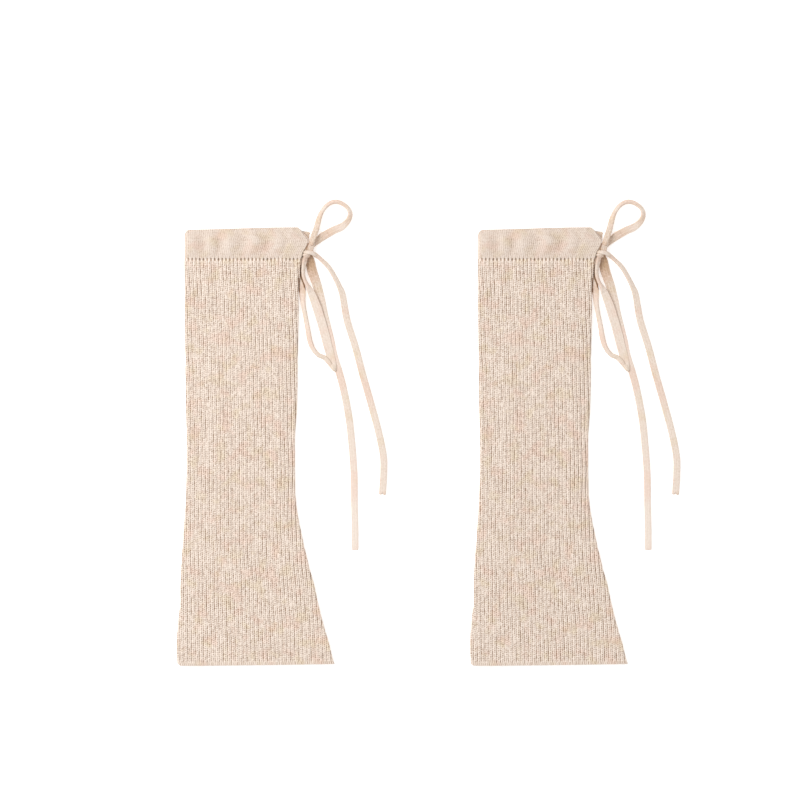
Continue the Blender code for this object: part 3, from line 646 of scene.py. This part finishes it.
# the knitted surface at one stitch column: how far it stands out, its tone and how far it leans up
def ribStitch(row, u, x, isFront):
    f = u - math.floor(u)
    height = row["height"]
    shape = math.sin(math.pi * f) ** 0.35
    groove = math.floor(u + 0.5)
    whole, long, short = leg["parting"]
    parted = whole + long * waver(groove * 1.73, height / 16, 5.0) + short * waver(groove * 2.31, height / 5, 15.0)
    # grooves part deeper towards the right edge, in relief and in painted shade
    parted += (leg["edgeParting"] * ease((x - row["right"] + 17) / 12) * ease((height - 60) / 80)
               * ease((380 - height) / 60))
    parted = min(max(parted, leg["partingLimits"][0]), leg["partingLimits"][1])
    legScatter = scatter(u * 2, row["index"] // 2, 3.0)
    yarnScatter = scatter(u * leg["frontColumns"], row["index"], 7.0)
    knit = row["relief"]
    fromEnds = ease((height - leg["castOff"]) / 5) * ease((leg["seamTop"] - height) / 5)
    stitch = row["stitch"] * mix(0.4, 1.0, fromEnds)
    rise = -leg["ribDepth"] * parted * (1 - shape)
    rise += stitch * leg["stitchRise"] * (0.3 + 0.7 * shape)
    rise += leg["unevenness"] * (legScatter + yarnScatter)
    inGroove = max(1 - 6 * min(f, 1 - f), 0.0)
    # painted shade in each groove, changing with the course and with how far the groove parts, and up each rib's
    # middle
    tone = leg["tone"] - (leg["grooveShade"] - leg["grooveCourse"] * stitch) * inGroove * parted
    tone += (leg["ribCourse"] * stitch * (1 - inGroove) + leg["stitchScatter"] * legScatter
             + leg["yarnScatter"] * yarnScatter)
    if abs(f - 0.5) < 0.1:
        tone -= leg["middleShade"] - leg["middleCourse"] * stitch
    lean = leg["chevron"] * (abs(f - 0.5) * 2 - 0.5) + leg["skew"] * waver(x / 17, height / 50, 21.0)
    lean += (leg["stagger"] * scatter(u, math.floor(height / leg["staggerLength"]), 31.0)
             * math.sin(math.pi * height / leg["staggerLength"]) ** 2)
    lean *= fromEnds

    # the cast-off edge: a chain of small slanting loops along the hem, with painted light on each loop and painted
    # shade between
    edge = ease((leg["castOff"] + 0.5 - height) / 0.9)
    if edge > 0:
        loop = math.cos(2 * math.pi * (2 * u + 0.42 * height / leg["castOff"]) + 1.1 * waver(u * 0.9, 0.3, 8.0))
        chain = math.sin(math.pi * min(max(height / leg["castOff"], 0.0), 1.0)) ** 0.5
        rise = mix(rise, -0.3 + (0.3 * loop + 0.15) * chain, edge)
        tone = mix(tone, leg["chainTone"] + 0.42 * loop * chain + 0.4 * yarnScatter, 0.85 * edge)
    # the eyelets under the casing, one at the head of each groove, with painted shade in each hole and a painted
    # highlight on the tabs between them
    if height > leg["eyeletFrom"] - 1.2:
        hole = math.exp(-((min(f, 1 - f) / leg["eyeletWidth"]) ** 4))
        hole *= ease((height - leg["eyeletFrom"] + 0.5) / 0.7) * (0.92 + 0.25 * scatter(groove, 0.0, 9.0))
        tab = ease((height - leg["eyeletFrom"] + 0.6) / 0.8)
        rise = mix(rise, -0.15 - 0.5 * ease((height - 389.4) / 1.6), tab) - leg["eyeletDepth"] * hole * isFront
        tone = mix(mix(tone, leg["tabHighlight"], tab), leg["eyeletShade"], hole * isFront)
    # rows that are not knit, inside the hem and round its edge, get an even painted shade
    return rise * knit, mix(0.6, tone, knit), lean * knit


legMap = legPlan()


# the upper side, with both side folds: its columns run on a little way under the edges, where they carry painted
# shade
def frontPlace(i, j):
    row = legMap[j]
    u = leg["ribsFrom"] + i / leg["frontColumns"]
    height, quarter = row["height"], row["quarter"]
    line = ribLine(row, u) + leg["wander"] * waver(u * 0.16, height / 34, 3.1) * ease((380 - height) / 30)
    travel = line - row["left"] - row["radius"] + quarter
    start, end = -quarter - leg["wrapLeft"], row["flat"] + 3 * quarter + leg["wrapRight"]
    onCloth = start < travel < end
    travel = min(max(travel, start), end)
    x, z, fx, fz = aroundTube(row["left"], row["right"], 0.0, row["thick"], travel)
    if onCloth:
        rise, tone, lean = ribStitch(row, u, x, 1.0 if fz > 0 else 0.0)
    else:
        rise, tone, lean = -0.5 * row["relief"], leg["hiddenShade"], 0.0
    top = ease(fz / 0.7)
    rise += leg["ribRise"] * top - row["inset"] - (1 - top) * 0.1
    if fz > 0:
        rise += foldRise(x, height) * top * row["relief"]
    else:
        rise -= leg["standOff"] * row["relief"] * -fz
    y = height + lean + hemLift(x, height)
    if height == 0.0 or row["inset"] > 0:
        y += 0.12 * waver(u * 2.2, 1.0, 4.0)
    # painted shade in the creases beside the knot, on the leg's right edge
    if fz > -0.2 and x > crease["legFrom"]:
        tone -= creaseShade(x, y)
    # the bottom left corner is turned off in a small curve
    toCorner = ease((leg["cornerReach"] - (x - row["left"])) / leg["cornerReach"])
    y += leg["cornerRise"] * toCorner ** 2 * ease((leg["cornerUpTo"] - height) / leg["cornerUpTo"])
    return (x + rise * fx, y, max(z + rise * fz, warmer["lowest"])), tone, (travel * mm, (height + lean) * mm, 0.0)


bm = bmesh.new()
ribs = leg["ribsTo"] - leg["ribsFrom"]
knitGrid(bm, ribs * leg["frontColumns"], len(legMap) - 1, frontPlace)
leftLegFront = finishPiece(bm, "leftLegFront", ribbedKnit, "ribbed_knit")


# the underside runs the other way across, so that it faces the table
def backPlace(i, j):
    row = legMap[j]
    u = leg["ribsTo"] - i / leg["backColumns"]
    height, line = row["height"], ribLine(row, u)
    start = row["left"] + row["radius"] + leg["wrapLeft"] - leg["overlap"]
    end = row["right"] - row["radius"] - leg["wrapRight"] + leg["overlap"]
    onCloth = start < line < end
    x = min(max(line, start), end)
    # columns tucked under the edges carry painted shade
    rise, tone, lean = ribStitch(row, u, x, 0.0) if onCloth else (-0.5 * row["relief"], leg["hiddenShade"], 0.0)
    tucked = 1 - ease((x - start) / 3) * ease((end - x) / 3)
    z = leg["standOff"] * row["relief"] + row["inset"] + 0.75 * tucked - rise
    y = height + lean + hemLift(x, height)
    return (x, y, max(z, warmer["lowest"])), tone, (-x * mm, (height + lean) * mm, 0.5)


bm = bmesh.new()
knitGrid(bm, ribs * leg["backColumns"], len(legMap) - 1, backPlace)
leftLegBack = finishPiece(bm, "leftLegBack", ribbedKnit, "ribbed_knit")
rightLegFront = secondOf(leftLegFront, "rightLegFront")
rightLegBack = secondOf(leftLegBack, "rightLegBack")
for side, front, back in (("left", leftLegFront, leftLegBack), ("right", rightLegFront, rightLegBack)):
    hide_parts(side + "_leg")
    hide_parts(side + "_leg")
print("legs knitted")


# casing: across it, how far the front stands over the middle, how far the back reaches under it,
# and where the open ends of the front and back lie
casingRows = (
    (0.0, 2.9, 3.4, 118.6, 118.6), (1.5, 3.4, 3.85, 119.0, 119.5), (6.0, 4.0, 3.85, 120.2, 121.8),
    (11.0, 4.3, 3.85, 122.8, 123.8), (15.5, 4.3, 3.85, 124.7, 124.7), (18.0, 4.2, 3.85, 125.0, 125.3),
    (21.0, 4.0, 3.85, 123.0, 125.8), (24.4, 3.5, 3.85, 120.2, 126.0), (26.5, 3.1, 3.8, 118.9, 125.9),
    (27.1, 2.95, 3.75, 118.5, 118.6), (28.2, 2.7, 3.5, 117.8, 117.6), (30.2, 1.7, 3.0, 115.8, 116.2),
)
casing = {
    "foot": 389.8, "across": 30.2, "left": 7.0, "foldRadius": 4.0, "layerGap": 0.15, "wall": 0.95,
    "topSlope": 2.2, "slopeRun": 100.0, "gatherLength": 117.0, "margin": 2.2,
    "frontWales": 60, "foldWales": 7, "frontColumns": 4, "backColumns": 2,
    "courses": 20, "waleDepth": 0.3, "stitchRise": 0.07, "chevron": 0.35, "unevenness": 0.12,
    "turnRows": ((0.3, 0.78), (0.42, 0.5), (0.3, 0.22), (0.0, 0.0)), "insideRows": (27.0, 20.0, 12.0, 4.0, 0.8),
    # the groove, tick and eyelet tones are painted shade, the gather tone paints light on the gathers' ridges and
    # shade in their troughs, the inside tone is painted light on the back's inner side and the foot tone a painted
    # highlight along the foot
    "tone": 0.83, "grooveShade": 0.46, "stitchTone": 0.14, "looseTone": 0.5, "gatherLightAndShade": 0.16, "insideLight": 1.1,
    "tickFrom": 28.4, "tickShade": 0.22,
    "eyelet": 0.85, "eyeletWidth": 0.22, "eyeletReach": 2.6, "eyeletDepth": 0.7, "tab": 0.45,
    "footHighlight": 0.95, "eyeletShade": 0.2,
    "pressedTo": 2.0, "pressed": 0.75, "pressedFrom": 0.92,    # the upper part lies on the back at the open end
    "channelIn": 0.13, "clothRun": 0.113, "cornerRadius": 5.6, "cornerFrom": 18.0,
}
legDrift = readTable(legRows, casing["foot"])[3]
# gathers drawn up by the string: where each lies at the foot, how far it leans, its rise and its width
gathers = (
    (13.0, 0.5, 0.5, 4.0), (22.2, 1.5, -0.6, 4.5), (31.7, 1.0, 0.8, 4.0), (40.7, -1.0, -0.85, 3.5),
    (50.7, -1.5, 0.85, 5.0), (60.2, 1.0, -0.6, 4.5), (72.7, 2.0, 1.05, 5.0), (85.7, 1.5, -0.8, 5.5),
    (98.2, -1.0, 0.7, 7.0), (36.2, 3.0, 0.2, 1.8), (66.2, -2.5, -0.28, 2.0), (79.7, 2.5, -0.25, 1.9),
    (106.7, 1.5, -0.45, 3.0), (112.0, 0.5, 0.35, 2.6),
)


def gatherRise(x, across):
    up = across / casing["across"]
    total = 0.0
    for at, lean, rise, width in gathers:
        total += rise * math.exp(-(((x - at - lean * up) / width) ** 2))
    return total * math.sin(math.pi * min(max(up, 0.08), 0.92))


# columns of the casing: how far along its run, how far inside the channel, and how far across a wale
def casingColumns():
    ends = ((casing["channelIn"], 1.0), (0.05, 1.0), (0.012, 0.97), (0.0, 0.8), (-0.004, 0.5), (-0.003, 0.2))
    columns = [(2 - inward, deep, 0.0, 0.0) for inward, deep in ends]
    backSteps = casing["frontWales"] * casing["backColumns"]
    for k in range(backSteps):
        wale = (backSteps - k) / casing["backColumns"]
        columns.append((1 + wale / casing["frontWales"], 0.0, casing["frontWales"] + casing["foldWales"] + wale, 1.0))
    foldSteps = casing["foldWales"] * casing["frontColumns"]
    for k in range(foldSteps):
        wale = (foldSteps - k) / casing["frontColumns"]
        columns.append((wale / casing["foldWales"], 0.0, casing["frontWales"] + wale, 1.0))
    frontSteps = casing["frontWales"] * casing["frontColumns"]
    for k in range(frontSteps + 1):
        wale = k / casing["frontColumns"]
        columns.append((-wale / casing["frontWales"], 0.0, casing["frontWales"] - wale, 1.0))
    return columns + [(-1 + inward, deep, 0.0, 0.0) for inward, deep in reversed(ends)]


# rows of the casing: how far across it, and how much it keeps to the outside, over the top and down again
def casingMap():
    steps = casing["courses"] * 2
    rows = [(casing["across"] * k / steps, 1.0, 1 if k % 2 else -1) for k in range(steps + 1)]
    rows += [(casing["across"] + up, keep, 0) for up, keep in casing["turnRows"]]
    return rows + [(across, 0.0, 0) for across in casing["insideRows"]]


casingColumnPlan, casingRowPlan = casingColumns(), casingMap()


def casingPlace(i, j):
    station, deep, wale, knit = casingColumnPlan[i]
    across, keep, stitch = casingRowPlan[j]
    front, back, frontEnd, backEnd = readTable(casingRows, across)
    hinge = casing["left"] + casing["foldRadius"]
    gathered = 0.0
    if station >= 1:
        outside = back
    else:
        x = hinge - min(station, 0.0) * casing["gatherLength"]
        gathered = gatherRise(x, across)
        outside = mix(front + gathered, back, ease(station))
        if station > 0:
            outside = mix(outside, casing["foldRadius"] - 0.05, math.sin(math.pi * station))
    # towards its open end the upper part lies flat on the back
    if station < 0:
        nearEnd = ease((-station - casing["pressedFrom"]) / 0.08) * ease((across - 12) / 8)
        outside = mix(outside, casing["pressedTo"], nearEnd * casing["pressed"])
    f = wale - math.floor(wale)
    shape = waleShape(f)
    loose = scatter(station * (casing["frontWales"] * casing["frontColumns"]), j, 6.0)
    onFace = knit * (keep == 1.0)
    rise = onFace * (casing["waleDepth"] * (shape - 1) + stitch * casing["stitchRise"]
                     + casing["unevenness"] * loose)
    # the yarn's tone, with painted shade in the wale grooves and painted light on the gathers' ridges and shade in
    # their troughs
    tone = (casing["tone"] - casing["grooveShade"] * (1 - shape) * knit + casing["stitchTone"] * stitch * onFace
            + casing["looseTone"] * loose + casing["gatherLightAndShade"] * gathered)
    lean = (onFace * casing["chevron"] * (abs(f - 0.5) * 2 - 0.5)
            * ease(across / 2) * ease((casing["across"] - across) / 2))
    # painted shade: a small dark tick between wales where the cloth turns over at the top
    if across > casing["tickFrom"] and station < 1.4:
        tone -= casing["tickShade"] * (1 - shape) * ease((across - casing["tickFrom"]) / 1.4)
    # the eyelets notch the foot, one at the head of each of the leg's grooves; the foot gets a painted highlight and
    # each eyelet painted shade
    if across < casing["eyeletReach"] and keep == 1.0 and station < 1.0:
        overLeg = hinge - min(station, 0.0) * (frontEnd - hinge) - leg["firstRib"] + legDrift
        part = overLeg / leg["ribPitch"] - math.floor(overLeg / leg["ribPitch"])
        hole = math.exp(-((min(part, 1 - part) / casing["eyeletWidth"]) ** 4))
        foot = ease((casing["eyeletReach"] - across) / casing["eyeletReach"])
        lean += foot * (casing["eyelet"] * hole - casing["tab"] * (1 - hole))
        rise -= casing["eyeletDepth"] * hole * foot * foot
        tone = mix(mix(tone, casing["footHighlight"], foot), casing["eyeletShade"], hole * ease(1.0 - across))
    reach = casing["layerGap"] + (outside - casing["layerGap"]) * keep + rise
    acrossHere = across + lean
    if deep > 0:
        channelFloor = casing["layerGap"] + casing["wall"]
        room = max(outside - casing["wall"] - channelFloor, 0.1)
        within = casing["margin"] + min(across, casing["across"]) * (1 - 2 * casing["margin"] / casing["across"])
        reach = mix(reach, channelFloor + room * keep, deep)
        acrossHere = mix(acrossHere, within, deep)
        # painted shade, darker the deeper inside the channel
        tone = 0.8 - 0.2 * deep
    # painted light on the back's inner side, where it shows at the top corner in the front's shade
    if station > 1.9:
        tone = mix(tone, casing["insideLight"], 1 - keep)
    if station < 0 or station > 1:
        side = 1.0 if station < 0 else -1.0
        along = -station if station < 0 else station - 1
        x = hinge + along * ((frontEnd if station < 0 else backEnd) - hinge)
        z = casing["foldRadius"] + side * reach
    else:
        angle = math.pi * (0.5 + station)
        x = hinge + math.cos(angle) * reach
        z = casing["foldRadius"] + math.sin(angle) * reach
    slope = casing["topSlope"] * (1 - ease((x - casing["left"]) / casing["slopeRun"]))
    y = casing["foot"] + acrossHere * (1 - slope / casing["across"])
    # the top left corner is rounded off
    radius = casing["cornerRadius"]
    short = min(max(radius - (x - casing["left"] + 0.05), 0.0), radius)
    y -= (radius - math.sqrt(radius ** 2 - short ** 2)) * ease((across - casing["cornerFrom"]) / 12)
    onCloth = (-station * casing["clothRun"], across * mm, 1.0 + 0.02 * (1 - keep))
    return (x, y, max(z, warmer["lowest"])), tone, onCloth


bm = bmesh.new()
knitGrid(bm, len(casingColumnPlan) - 1, len(casingRowPlan) - 1, casingPlace)
leftCasing = finishPiece(bm, "leftCasing", smoothKnit, "smooth_knit")
rightCasing = secondOf(leftCasing, "rightCasing")
for side, piece in (("left", leftCasing), ("right", rightCasing)):
    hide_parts(side + "_casing")
print("casings knitted")


# a plain pale table and soft light from above, a little from the left
studio = {
    "tableSize": 3.0, "tableColour": (0.95, 0.95, 0.95, 1.0), "tableGlow": 0.4, "tableRoughness": 0.9,
    "tableDrop": 0.0003,    # just under the lowest stitch
    "skyLight": 0.71, "softBox": 40.0, "softBoxSize": 1.2, "softBoxAt": (-1.6, 0.9, 2.2),
}
bm = bmesh.new()
bmesh.ops.create_grid(bm, x_segments=1, y_segments=1, size=studio["tableSize"])
bmesh.ops.translate(bm, verts=bm.verts, vec=(0, 0, -studio["tableDrop"]))
tableMesh = bpy.data.meshes.new("table")
bm.to_mesh(tableMesh)
bm.free()
table = bpy.data.objects.new("table", tableMesh)
bpy.context.scene.collection.objects.link(table)
tableFinish = bpy.data.materials.new("tableFinish")
tableFinish.use_nodes = True
tableShader = tableFinish.node_tree.nodes["Principled BSDF"]
tableShader.inputs["Base Color"].default_value = studio["tableColour"]
tableShader.inputs["Roughness"].default_value = studio["tableRoughness"]
tableShader.inputs["Specular IOR Level"].default_value = 0.0
tableShader.inputs["Emission Color"].default_value = (1, 1, 1, 1)
tableShader.inputs["Emission Strength"].default_value = studio["tableGlow"]
tableMesh.materials.append(tableFinish)

world = bpy.data.worlds.new("studioLight")
bpy.context.scene.world = world
world.use_nodes = True
sky = world.node_tree.nodes["Background"]
sky.inputs["Color"].default_value = (1.0, 1.0, 1.0, 1.0)
sky.inputs["Strength"].default_value = studio["skyLight"]

softBoxData = bpy.data.lights.new("softBox", "AREA")
softBoxData.energy = studio["softBox"]
softBoxData.size = studio["softBoxSize"]
softBox = bpy.data.objects.new("softBox", softBoxData)
softBox.location = studio["softBoxAt"]
softBox.rotation_mode = "QUATERNION"
softBox.rotation_quaternion = (Vector((0, 0, 0)) - softBox.location).to_track_quat("-Z", "Y")
softBox.visible_camera = False
bpy.context.scene.collection.objects.link(softBox)
bpy.context.scene.view_settings.view_transform = "Standard"
print("table and light set")
